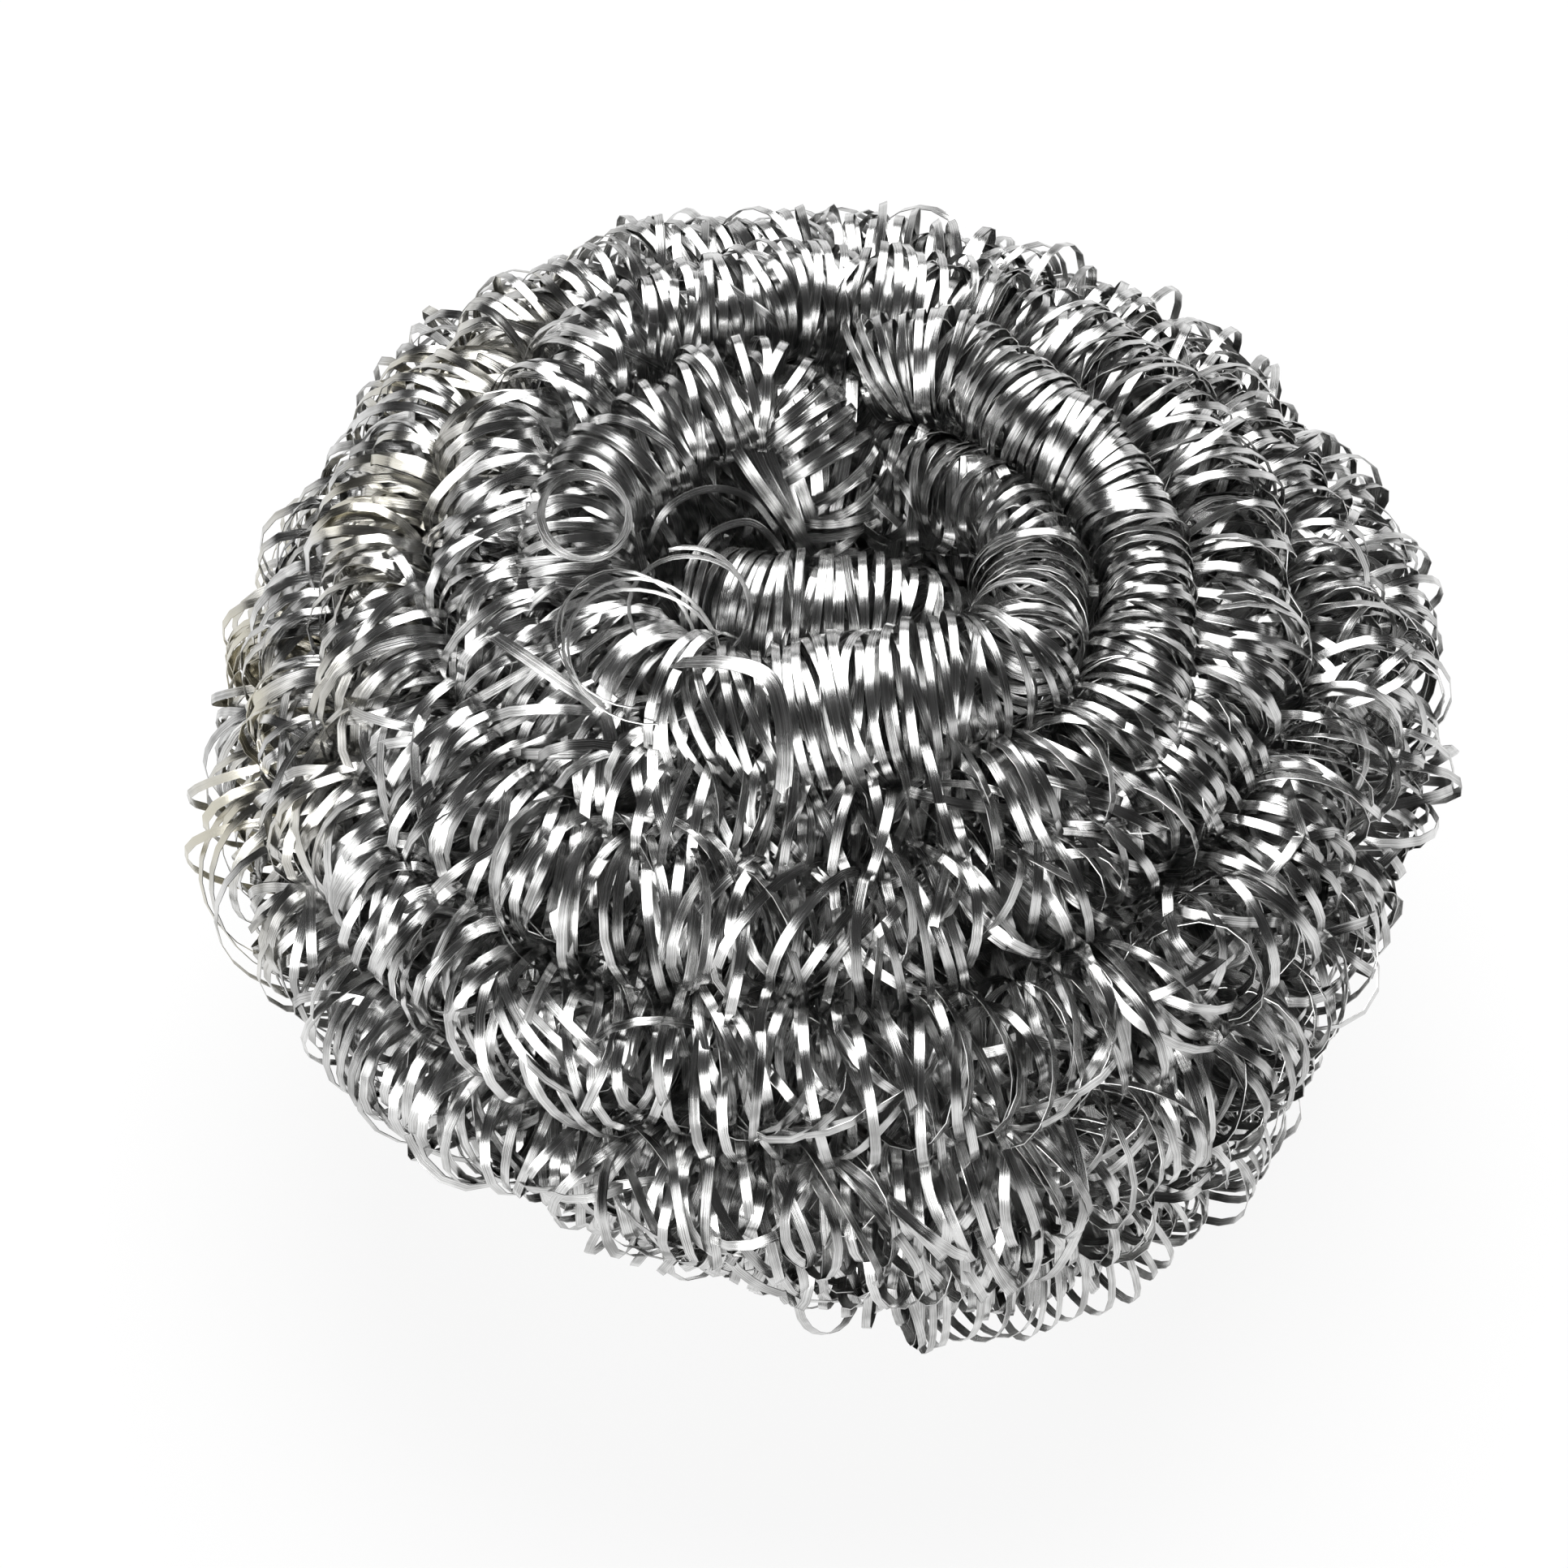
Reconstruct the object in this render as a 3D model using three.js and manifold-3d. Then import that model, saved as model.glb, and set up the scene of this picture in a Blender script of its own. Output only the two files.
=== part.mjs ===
// A spiral metal scourer: flat steel ribbon curled into a long rope of coils, and the rope wound
// row after row into a bun with a rose-shaped hollow on top. It lies on the flat spot under it.
// Millimetres, +Z up, +X to the right, +Y to the back. The origin is under the bun's middle.
import * as THREE from "three";
import { mergeVertices } from "three/addons/utils/BufferGeometryUtils.js";
import Module from "manifold-3d";

// The bun
const ROLL_WIDTH = 80;
const ROLL_HEIGHT = 50.5;
const FLAT_SPOT_DEPTH = 1.2; // how deep the lowest coils are pressed flat
const FLAT_SPOT_SPREAD = 3; // how much lower the rows under the bun would hang if nothing held them
// Where the bun is drawn in: the middle azimuth, how far it spreads to each side, how deep it is, and
// the heights where it starts and from where on it has its full depth
const DENTS = [
  { azimuth: -25, spread: 24, depth: 2.5, from: 34, to: 26 },
  { azimuth: -12, spread: 36, depth: 6, from: 25, to: 17 },
  { azimuth: -124, spread: 36, depth: 4.5, from: 25, to: 17 },
  { azimuth: 55, spread: 40, depth: 2.5, from: 25, to: 33 },
  { azimuth: 165, spread: 45, depth: 1.5, from: 40, to: 30 },
];
const SLUMP = 5; // how far the foot of the bun lies off its middle
const SLUMP_AZIMUTH = -30;
const NAVEL_DEPTH = 16; // from the top of the bun to the bottom of its hollow
const NAVEL_WIDTH = 28;
const NAVEL_FLOOR_WIDTH = 18;

// The rope of coils
const ROPE_DIAMETER = 8.8;
const ROW_PITCH = 8.2; // from the middle of one row to the middle of the next
const COIL_PITCH = 5.8; // from one bunch of turns to the next along the rope
const COIL_DEPTH = 0.85; // how far a bunch of turns stands out beside its neighbour
const COIL_UNEVENNESS = 0.3; // by how large a share that differs from bunch to bunch
const COIL_LEAN = 16; // how far the turns tip over along the rope, at most
const COILS_A_SWAY = 4.5; // bunches from one lean to the next like it
const ROPE_SIDES = 8;

const STEEL = { color: 0xb9bab8, roughness: 0.28, metalness: 1 };

const ROPE_RADIUS = ROPE_DIAMETER / 2;
const LINE_RADIUS = ROLL_WIDTH / 2 - ROPE_RADIUS; // the rope's centre line at the bun's widest row
const MIDDLE_HEIGHT = ROLL_HEIGHT / 2;
const LOWEST_LINE = ROPE_RADIUS - FLAT_SPOT_DEPTH;
const RISE = ROLL_HEIGHT - ROPE_RADIUS - MIDDLE_HEIGHT;
const DROP = MIDDLE_HEIGHT - LOWEST_LINE + FLAT_SPOT_SPREAD;
const CORE_RISE = -0.5; // how far the packed turns inside reach above the rope's centre line
const FOOT_RISE = 1.8; // and how far they do under the bun

const radians = THREE.MathUtils.degToRad;

// From 0 at one value to 1 at the other, in either order.
function smooth(value, from, to) {
  const share = THREE.MathUtils.clamp((value - from) / (to - from), 0, 1);
  return share * share * (3 - 2 * share);
}

// The bun's outline as the rope's centre line runs on it, against the slope angle: a right angle on
// top, zero at the widest row and minus a right angle underneath.
function outline(slope) {
  const height = MIDDLE_HEIGHT + (slope > 0 ? RISE : DROP) * Math.sin(slope);
  return { reach: LINE_RADIUS * Math.cos(slope), height };
}

const OUTLINE_STEPS = 720;
const outlineLengths = [0];
const slopeOfStep = (step) => Math.PI / 2 - (Math.PI * step) / OUTLINE_STEPS;
for (let step = 1; step <= OUTLINE_STEPS; step++) {
  const before = outline(slopeOfStep(step - 1));
  const after = outline(slopeOfStep(step));
  const length = Math.hypot(after.reach - before.reach, after.height - before.height);
  outlineLengths.push(outlineLengths[step - 1] + length);
}
const OUTLINE_LENGTH = outlineLengths[OUTLINE_STEPS];

// The slope angle at a distance along the outline, counted from the top of the bun.
function slopeAt(distance) {
  const held = THREE.MathUtils.clamp(distance, 0, OUTLINE_LENGTH);
  let step = 1;
  while (step < OUTLINE_STEPS && outlineLengths[step] < held) step++;
  const share = (held - outlineLengths[step - 1]) / (outlineLengths[step] - outlineLengths[step - 1]);
  return slopeOfStep(step - 1 + share);
}

// A place beside an upright axis, with the azimuth in degrees.
const around = (azimuth, radius, z) =>
  new THREE.Vector3(radius * Math.cos(radians(azimuth)), radius * Math.sin(radians(azimuth)), z);

// How far the dents draw the bun in at an azimuth and a height.
function drawnIn(azimuth, z) {
  let depth = 0;
  for (const dent of DENTS) {
    const away = THREE.MathUtils.euclideanModulo(azimuth - dent.azimuth + 180, 360) - 180;
    depth += dent.depth * Math.exp(-((away / dent.spread) ** 2)) * smooth(z, dent.from, dent.to);
  }
  return depth;
}

// A point of the bun: azimuth in degrees, distance along the outline, and how far it stands out of it.
function bunPoint(azimuth, distance, rise = 0) {
  const { reach, height } = outline(slopeAt(distance));
  const outward = 1 + rise / LINE_RADIUS;
  const z = MIDDLE_HEIGHT + (height - MIDDLE_HEIGHT) * outward;
  const radius = reach * outward * (1 - drawnIn(azimuth, z) / LINE_RADIUS);
  return around(azimuth, radius, z).add(around(SLUMP_AZIMUTH, SLUMP * smooth(z, MIDDLE_HEIGHT, 0), 0));
}

// A knot of the rose on top: azimuth in degrees, distance from the middle in rows, how far the rope's
// back lies below the top of the bun, and the rope's thickness as a share of the usual one.
function roseKnot([azimuth, rows, sink, share]) {
  const height = ROLL_HEIGHT - sink - share * ROPE_RADIUS;
  return { place: around(azimuth, rows * ROW_PITCH, height), share };
}

// The short rope end that lies across the hollow and dives to the right.
const NAVEL_END = [
  [198, 1.05, 5.3, 0.84],
  [252, 0.56, 4.6, 0.86],
  [315, 0.74, 5.7, 0.86],
  [335, 1.1, 11, 0.8],
];

// The inner rope: out of the hollow, down the right, along the front, up the left and back in.
const INNER_ROPE = [
  [88, 0.62, 16, 0.72],
  [81, 0.7, 9.7, 0.76],
  [57, 0.86, 6.7, 0.8],
  [40, 1.08, 5, 0.8],
  [21, 1.24, 3.7, 0.78],
  [-1, 1.38, 2.6, 0.76],
  [-18, 1.5, 1.9, 0.76],
  [-34, 1.69, 1.2, 0.8],
  [-49, 1.9, 0.6, 0.88],
  [-64, 1.82, 0.3, 1],
  [-84, 1.7, 0.2, 1.08],
  [-115, 1.93, 1.2, 1.08],
  [-151, 1.97, 3, 0.9],
  [-183, 1.87, 2.5, 0.8],
  [-211, 1.59, 1.3, 0.85],
  [-243, 1.3, 0.6, 0.88],
  [-257, 1.08, 2.2, 0.87],
  [-271, 0.8, 5.3, 0.8],
  [-275, 0.55, 9.8, 0.75],
  [-290, 0.35, 15, 0.7],
];

// The outer rope starts with an open end behind the hollow and goes round the inner one.
const OUTER_ROPE = [
  [79, 1.58, 1.9, 0.82],
  [60, 1.73, 1.1, 0.78],
  [43, 1.74, 1, 0.76],
  [25, 1.79, 1, 0.74],
  [11, 2, 1.6, 0.7],
  [-4, 2.18, 1.9, 0.68],
  [-16, 2.31, 2.2, 0.7],
  [-30, 2.5, 2.3, 0.78],
  [-48, 2.62, 3.2, 0.86],
  [-68, 2.57, 4, 0.9],
  [-94, 2.48, 4.5, 0.92],
  [-122, 2.54, 4.3, 0.95],
  [-155, 2.51, 4.3, 0.95],
  [-192, 2.51, 4, 0.92],
  [-226, 2.61, 3.1, 0.88],
  [-241, 2.47, 2.7, 0.85],
  [-257, 2.4, 2.7, 0.88],
];

// The rows of the bun go on from there, clockwise and outward, and end near the middle underneath.
const ROWS_START_AZIMUTH = -282;
const ROWS_START_DISTANCE = 2.85 * ROW_PITCH;
const ROWS_END_DISTANCE = OUTLINE_LENGTH - 0.95 * ROW_PITCH;
const ROWS_KNOT_ANGLE = 24;
const ROW_SWELL = 0.05; // the rope is thicker and thinner by this share from place to place
const ROW_SWELLS_A_TURN = 2.3;
const ROW_SWAY = 0.4; // how far a row sways from its even course
const ROW_SWAYS_A_TURN = 1.7;

function rowKnots() {
  const knots = [];
  const turned = (360 * (ROWS_END_DISTANCE - ROWS_START_DISTANCE)) / ROW_PITCH;
  for (let angle = 0; angle <= turned; angle += ROWS_KNOT_ANGLE) {
    const sway = ROW_SWAY * Math.sin(radians(angle * ROW_SWAYS_A_TURN));
    const share = 1 + ROW_SWELL * Math.sin(radians(angle * ROW_SWELLS_A_TURN));
    const distance = ROWS_START_DISTANCE + (ROW_PITCH * angle) / 360 + sway;
    const place = bunPoint(ROWS_START_AZIMUTH - angle, distance);
    place.z = Math.max(place.z, LOWEST_LINE);
    knots.push({ place, share });
  }
  return knots;
}

// A rope through its knots, as rings two to a bunch of turns: each has a place, a radius and the two
// directions across the rope, the first of them tipped over as the turns are.
function ropeRings(knots) {
  const curve = new THREE.CatmullRomCurve3(knots.map((knot) => knot.place), false, "catmullrom", 0.5);
  curve.arcLengthDivisions = knots.length * 40;
  const count = 2 * Math.round(curve.getLength() / COIL_PITCH);
  const frames = curve.computeFrenetFrames(count, false);
  const rings = [];
  for (let i = 0; i <= count; i++) {
    const along = curve.getUtoTmapping(i / count) * (knots.length - 1);
    const before = Math.min(Math.floor(along), knots.length - 2);
    const share = THREE.MathUtils.lerp(knots[before].share, knots[before + 1].share, along - before);
    const sway = (Math.PI * i) / COILS_A_SWAY;
    const lean = radians(COIL_LEAN * Math.sin(sway));
    const groove = COIL_DEPTH * (1 + COIL_UNEVENNESS * Math.cos(2 * sway));
    const across = frames.normals[i].clone().multiplyScalar(Math.cos(lean));
    rings.push({
      place: curve.getPointAt(i / count),
      radius: share * ROPE_RADIUS - (i % 2 ? 0 : groove),
      across: across.addScaledVector(frames.tangents[i], Math.sin(lean)),
      over: frames.binormals[i],
    });
  }
  return rings;
}

const wasm = await Module();
wasm.setup();

function solid(points, triangles) {
  return new wasm.Manifold(
    new wasm.Mesh({
      numProp: 3,
      vertProperties: new Float32Array(points.flatMap((p) => [p.x, p.y, p.z])),
      triVerts: new Uint32Array(triangles.flat()),
    }),
  );
}

// A stretch of rope between two of its rings, with flat ends.
function ropeStretch(rings) {
  const points = [];
  const triangles = [];
  for (const ring of rings) {
    for (let side = 0; side < ROPE_SIDES; side++) {
      const angle = (2 * Math.PI * side) / ROPE_SIDES;
      points.push(
        ring.place
          .clone()
          .addScaledVector(ring.across, ring.radius * Math.cos(angle))
          .addScaledVector(ring.over, ring.radius * Math.sin(angle)),
      );
    }
  }
  const last = (rings.length - 1) * ROPE_SIDES;
  for (let start = 0; start < last; start += ROPE_SIDES) {
    for (let side = 0; side < ROPE_SIDES; side++) {
      const next = (side + 1) % ROPE_SIDES;
      triangles.push([start + side, start + next, start + ROPE_SIDES + side]);
      triangles.push([start + next, start + ROPE_SIDES + next, start + ROPE_SIDES + side]);
    }
  }
  for (let side = 1; side < ROPE_SIDES - 1; side++) {
    triangles.push([0, side + 1, side]);
    triangles.push([last, last + side, last + side + 1]);
  }
  return solid(points, triangles);
}

// A whole rope, joined from stretches that are short enough not to meet themselves.
function ropeSolid(knots) {
  const rings = ropeRings(knots);
  const ringsAStretch = 6;
  const stretches = [];
  for (let start = 0; start < rings.length - 1; start += ringsAStretch) {
    stretches.push(ropeStretch(rings.slice(start, start + ringsAStretch + 1)));
  }
  return stretches.reduce((joined, stretch) => joined.add(stretch));
}

// The packed turns inside, which the outer rows are half sunk in: the bun's own form with a hollow.
function coreSolid() {
  const rings = 16;
  const corners = 30;
  const points = [];
  const triangles = [];
  const navelFloor = ROLL_HEIGHT - NAVEL_DEPTH;
  for (let ring = 0; ring <= rings; ring++) {
    const distance = (OUTLINE_LENGTH * ring) / rings;
    const rise = THREE.MathUtils.lerp(CORE_RISE, FOOT_RISE, smooth(ring, rings / 2, rings));
    for (let corner = 0; corner < (ring % rings ? corners : 1); corner++) {
      const point = bunPoint((360 * corner) / corners, distance, rise);
      const radius = Math.hypot(point.x, point.y);
      if (point.z > MIDDLE_HEIGHT) {
        const outside = smooth(radius, NAVEL_FLOOR_WIDTH / 2, NAVEL_WIDTH / 2);
        point.z = THREE.MathUtils.lerp(navelFloor, point.z, outside);
      }
      points.push(point);
    }
  }
  const at = (ring, corner) => (ring ? 1 + (ring - 1) * corners + (corner % corners) : 0);
  for (let corner = 0; corner < corners; corner++) {
    triangles.push([0, at(1, corner), at(1, corner + 1)]);
    for (let ring = 1; ring < rings - 1; ring++) {
      triangles.push([at(ring, corner), at(ring + 1, corner), at(ring, corner + 1)]);
      triangles.push([at(ring, corner + 1), at(ring + 1, corner), at(ring + 1, corner + 1)]);
    }
    triangles.push([at(rings - 1, corner), points.length - 1, at(rings - 1, corner + 1)]);
  }
  return solid(points, triangles);
}

// What the bench presses flat: everything below the bun's foot.
function benchSolid() {
  const size = 2 * ROLL_WIDTH;
  const bench = new THREE.BoxGeometry(size, size, ROLL_HEIGHT).translate(0, 0, -ROLL_HEIGHT / 2);
  bench.deleteAttribute("normal");
  bench.deleteAttribute("uv");
  const merged = mergeVertices(bench);
  const corners = merged.getAttribute("position");
  const points = [];
  for (let i = 0; i < corners.count; i++) points.push(new THREE.Vector3().fromBufferAttribute(corners, i));
  return solid(points, [Array.from(merged.index.array)]);
}

// The same solid with the small pockets shut between its turns filled.
function withoutPockets(made) {
  return made.decompose().reduce((largest, body) => (body.volume() > largest.volume() ? body : largest));
}

function meshOf(name, made, look) {
  const { numProp, vertProperties, triVerts } = made.getMesh();
  const geometry = new THREE.BufferGeometry();
  geometry.setAttribute("position", new THREE.BufferAttribute(new Float32Array(vertProperties), numProp));
  geometry.setIndex(new THREE.BufferAttribute(new Uint32Array(triVerts), 1));
  geometry.computeVertexNormals();
  const mesh = new THREE.Mesh(geometry, new THREE.MeshStandardMaterial(look));
  mesh.name = name;
  return mesh;
}

const outerRope = ropeSolid([...OUTER_ROPE.map(roseKnot), ...rowKnots()]);
const innerRope = ropeSolid(INNER_ROPE.map(roseKnot));
const navelEnd = ropeSolid(NAVEL_END.map(roseKnot));
const wound = coreSolid().add(outerRope).add(innerRope).add(navelEnd).subtract(benchSolid());
const roll = withoutPockets(wound);

const scourer = new THREE.Group();
scourer.name = "spiral_scourer";
scourer.add(meshOf("ribbon_roll", roll, STEEL));

export default scourer;
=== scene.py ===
# A spiral metal scourer on a white bench: flat steel ribbon curled into a long rope of coils, and
# the rope wound row after row into a bun with a rose-shaped hollow on top. Every turn of ribbon is
# a thin strip with real thickness. Lengths are in millimetres until a mesh is made.
import math
from collections import namedtuple

import bpy
import numpy as np
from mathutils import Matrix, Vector


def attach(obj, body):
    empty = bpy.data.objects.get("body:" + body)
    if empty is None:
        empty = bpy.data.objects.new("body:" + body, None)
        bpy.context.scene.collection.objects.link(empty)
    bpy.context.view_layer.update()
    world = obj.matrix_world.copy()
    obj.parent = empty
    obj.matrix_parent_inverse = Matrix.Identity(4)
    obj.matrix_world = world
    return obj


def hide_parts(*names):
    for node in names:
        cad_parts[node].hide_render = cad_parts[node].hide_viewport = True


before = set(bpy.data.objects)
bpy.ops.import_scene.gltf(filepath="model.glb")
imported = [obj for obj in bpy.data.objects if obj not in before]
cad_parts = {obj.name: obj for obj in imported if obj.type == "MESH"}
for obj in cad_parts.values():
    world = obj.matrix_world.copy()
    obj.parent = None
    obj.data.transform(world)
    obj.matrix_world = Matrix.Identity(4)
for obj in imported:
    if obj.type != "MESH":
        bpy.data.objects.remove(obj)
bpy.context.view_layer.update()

MM = 0.001
ROLL = "ribbon_roll"
SEED = 11

# The bun and its rope of coils, as the part's source has them
ROLL_WIDTH = 80
ROLL_HEIGHT = 50.5
FLAT_SPOT_DEPTH = 1.2
FLAT_SPOT_SPREAD = 3
# Dents: azimuth, spread, depth, and the heights where they start and have their full depth
DENTS = [
    (-25, 24, 2.5, 34, 26),
    (-12, 36, 6, 25, 17),
    (-124, 36, 4.5, 25, 17),
    (55, 40, 2.5, 25, 33),
    (165, 45, 1.5, 40, 30),
]
SLUMP = 5
SLUMP_AZIMUTH = -30
ROPE_DIAMETER = 8.8
ROW_PITCH = 8.2

ROPE_RADIUS = ROPE_DIAMETER / 2
LINE_RADIUS = ROLL_WIDTH / 2 - ROPE_RADIUS
MIDDLE_HEIGHT = ROLL_HEIGHT / 2
LOWEST_LINE = ROPE_RADIUS - FLAT_SPOT_DEPTH
RISE = ROLL_HEIGHT - ROPE_RADIUS - MIDDLE_HEIGHT
DROP = MIDDLE_HEIGHT - LOWEST_LINE + FLAT_SPOT_SPREAD

# Rose knots: azimuth in degrees, distance from the middle in rows, how far the rope's back lies
# below the top of the bun, and the rope's thickness as a share of the usual one
NAVEL_END = [
    (198, 1.05, 5.3, 0.84),
    (252, 0.56, 4.6, 0.86),
    (315, 0.74, 5.7, 0.86),
    (335, 1.1, 11, 0.8),
]
INNER_ROPE = [
    (88, 0.72, 20, 0.45),
    (81, 0.74, 11.5, 0.66),
    (57, 0.86, 6.7, 0.8),
    (40, 1.08, 5, 0.8),
    (21, 1.24, 3.7, 0.78),
    (-1, 1.38, 2.6, 0.76),
    (-18, 1.5, 1.9, 0.76),
    (-34, 1.69, 1.2, 0.8),
    (-49, 1.9, 0.6, 0.88),
    (-64, 1.82, 0.3, 1),
    (-84, 1.7, 0.2, 1.08),
    (-115, 1.93, 1.2, 1.08),
    (-151, 1.97, 3, 0.9),
    (-183, 1.87, 2.5, 0.8),
    (-211, 1.59, 1.3, 0.85),
    (-243, 1.3, 0.6, 0.88),
    (-257, 1.08, 2.2, 0.87),
    (-271, 0.8, 5.3, 0.8),
    (-275, 0.55, 9.8, 0.75),
    (-290, 0.35, 15, 0.7),
]
OUTER_ROPE = [
    (79, 1.58, 1.9, 0.82),
    (60, 1.73, 1.1, 0.78),
    (43, 1.74, 1, 0.76),
    (25, 1.79, 1, 0.74),
    (11, 2, 1.6, 0.7),
    (-4, 2.18, 1.9, 0.68),
    (-16, 2.31, 2.2, 0.7),
    (-30, 2.5, 2.3, 0.78),
    (-48, 2.62, 3.2, 0.86),
    (-68, 2.57, 4, 0.9),
    (-94, 2.48, 4.5, 0.92),
    (-122, 2.54, 4.3, 0.95),
    (-155, 2.51, 4.3, 0.95),
    (-192, 2.51, 4, 0.92),
    (-226, 2.61, 3.1, 0.88),
    (-241, 2.47, 2.7, 0.85),
    (-257, 2.4, 2.7, 0.88),
]
# The rows that carry the outer rope on, down to the middle of the flat spot
ROWS_START_AZIMUTH = -282
ROWS_START_DISTANCE = 2.85 * ROW_PITCH
ROWS_END_GAP = 0.95 * ROW_PITCH
ROWS_KNOT_ANGLE = 24
ROW_SWELL = 0.05
ROW_SWELLS_A_TURN = 2.3
ROW_SWAY = 0.4
ROW_SWAYS_A_TURN = 1.7
# How far out of the outer rope's line two more layers of rows lie, where less than 0 is inside it
PACKED_RISE = -6.5
DEEP_RISE = -13

OUTLINE_POINTS = 721  # of the bun's outline from its top to its foot
KNOT_SAMPLES = 40  # along a rope from one knot to the next
ROPE_STEP = 0.25

# The ribbon
RIBBON_WIDTH = (0.51, 0.62)  # in a tight and in a slack coil
WIDEST_RIBBON = 0.95
RIBBON_THICKNESS = 0.05
CLEARANCE = 0.03  # over the bench

FLAT_GAP = 0.1  # between neighbours when the ribbon is laid flat
FLAT_MARGIN = 1.001  # the side of that map against what the ribbon takes up
EDGE_SHARE = 0.1  # the ribbon map's share across an edge
GIRTH = 2 * (WIDEST_RIBBON + RIBBON_THICKNESS) + 4 * FLAT_GAP

# Slackness, from 0 for a tight coil to 1, against the length along a rope
NAVEL_SLACKNESS = [(0, 0)]
INNER_SLACKNESS = [(0, 0.5), (20, 0.5), (30, 0.15), (50, 0.1), (62, 0.45), (72, 0.4), (86, 0.25),
                   (110, 0.4)]
OUTER_SLACKNESS = [(0, 0.1), (22, 0.1), (34, 0.35), (44, 0.9), (94, 0.8), (106, 0.35), (140, 0.35),
                   (160, 0.8), (250, 0.9), (275, 0.55), (300, 0.55), (330, 0.95),
                   (940, 0.95), (952, 0.2), (992, 0.2), (1004, 0.95)]
HIDDEN_SLACKNESS = [(0, 0.7)]
SLACK_PATCHES = 0.15
SLACK_PATCH_SWING = 18

# How unevenly the ribbon is curled, where there are two values for a tight and for a slack coil.
# Angles are in degrees. A swing is the length along the rope, and turns are the number of turns,
# over which a value drifts from one random value to the next.
BUNCHING = 0.45
BUNCH_SWING = 2.2
JITTER = (0.05, 0.1)  # of the radius
JITTER_TURNS = (0.8, 3)
OVAL = (0.03, 0.12)  # of the radius
OVAL_ROLL = 6  # in radians, against twice the angle
OVAL_TURNS = 4
LEAN = (17, 60)  # how far the planes of the turns tip over
LEAN_SWING = 5
LEAN_FLUTTER = 0.7  # of the lean
LEAN_FLUTTER_TURNS = 1.5
LEAN_SIDE_SWING = 15  # of the side that they tip to
STRAY_SWING = 5
MOST_OUT = 0.4  # how far a turn's middle may stand out of the bun
WANDER = (0.08, 0.45)  # how far a turn leaves the middle of its strand
WANDER_TURNS = 1.2
TILE_ANGLE = 13  # overlapping turns lie on each other like tiles
TWIST = (14, 34)  # how unevenly the ribbon is turned up from the tile angle
TWIST_TURNS = 0.9
LOOP_REACH = 1.2  # of the turns that stand out
LEAST_LOOP = 0.3  # of that reach
LOOP_TAPER = 1.5  # higher for a narrower loop

# Strands: their radius as a share of the rope's, the rope's length for one turn, and how far they
# leave the middle of the rope, each for a tight and for a slack coil, then the share of turns that
# stand out, and the points of a turn
ROSE_STRANDS = [
    ((1.0, 0.98), (0.55, 1.2), (0.25, 0.7), 0.05, 24),
    ((0.8, 0.85), (1.3, 1.8), (0.2, 0.7), 0, 14),
]
ROW_STRANDS = [
    ((1.0, 0.93), (0.55, 2.0), (0.15, 0.8), 0.15, 20),
    ((0.88, 0.93), (1.1, 1.8), (0.15, 1.4), 0.05, 20),
    ((0.82, 0.9), (1.3, 1.8), (0.15, 2.2), 0, 20),
    ((0.75, 0.82), (1.5, 1.8), (0.2, 2.2), 0, 18),
    ((0.6, 0.65), (1.8, 2.2), (0.2, 1.8), 0, 12),
]
PACKED_STRANDS = [((0.95, 0.95), (1.4, 1.4), (0.5, 1.5), 0, 12)]
DEEP_STRANDS = [((1.1, 1.1), (1.7, 1.7), (0.5, 1.5), 0, 10)]

# Loops that stand out of the outer rope: between which lengths along it, their radius as a share of
# the rope's, the rope's length for each, and their slackness
STANDING_LOOPS = [
    (464, 494, 1.34, 2.0, 0.5),
    (498, 510, 1.38, 2.8, 0.5),
    (514, 526, 1.2, 3.2, 0.5),
    (624, 656, 1.25, 2.4, 0.5),
    (727, 739, 1.55, 2.8, 0.5),
    (948, 972, 1.5, 1.05, 0.1),
    (972, 992, 1.3, 1.05, 0.1),
    (992, 1018, 1.3, 2.6, 0.5),
]
STANDING_STRAY = 0.3  # how far they leave the middle of the rope
STANDING_SIDES = 26

# Loose coils of the rose: middle, axis, radius, turns, rise, start in degrees and width
LOOSE_COILS = [
    ((-14.8, -2.4, 49.1), (0.05, -0.5, 0.87), 2.6, 5.3, 0.25, 40, 0.34),
    ((-11.3, -12.3, 48.6), (0.1, -0.25, 0.95), 4.5, 1.7, 0.5, 200, 0.22),
    ((-8.6, -8.7, 48.3), (-0.1, -0.35, 0.9), 3.5, 1.6, 0.5, 100, 0.28),
    ((-12.2, -11.2, 48.4), (0.2, -0.3, 0.9), 4.1, 1.3, 0.6, 320, 0.2),
]
LOOSE_COIL_SIDES = 28
LOOSE_COIL_SWELLS = [(0.04, 2.3, 0), (0.03, 0.7, 1)]  # share of the radius, waves a turn and start
LOOSE_COIL_TILT = 0.2  # how far one side of a turn lies up, and the other down
LOOSE_COIL_TWIST = 0.7  # how far the ribbon is turned up, in radians
LOOSE_COIL_SIDEWAYS = (0.3, 0.9, 0.2)  # a direction that no axis has
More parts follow.
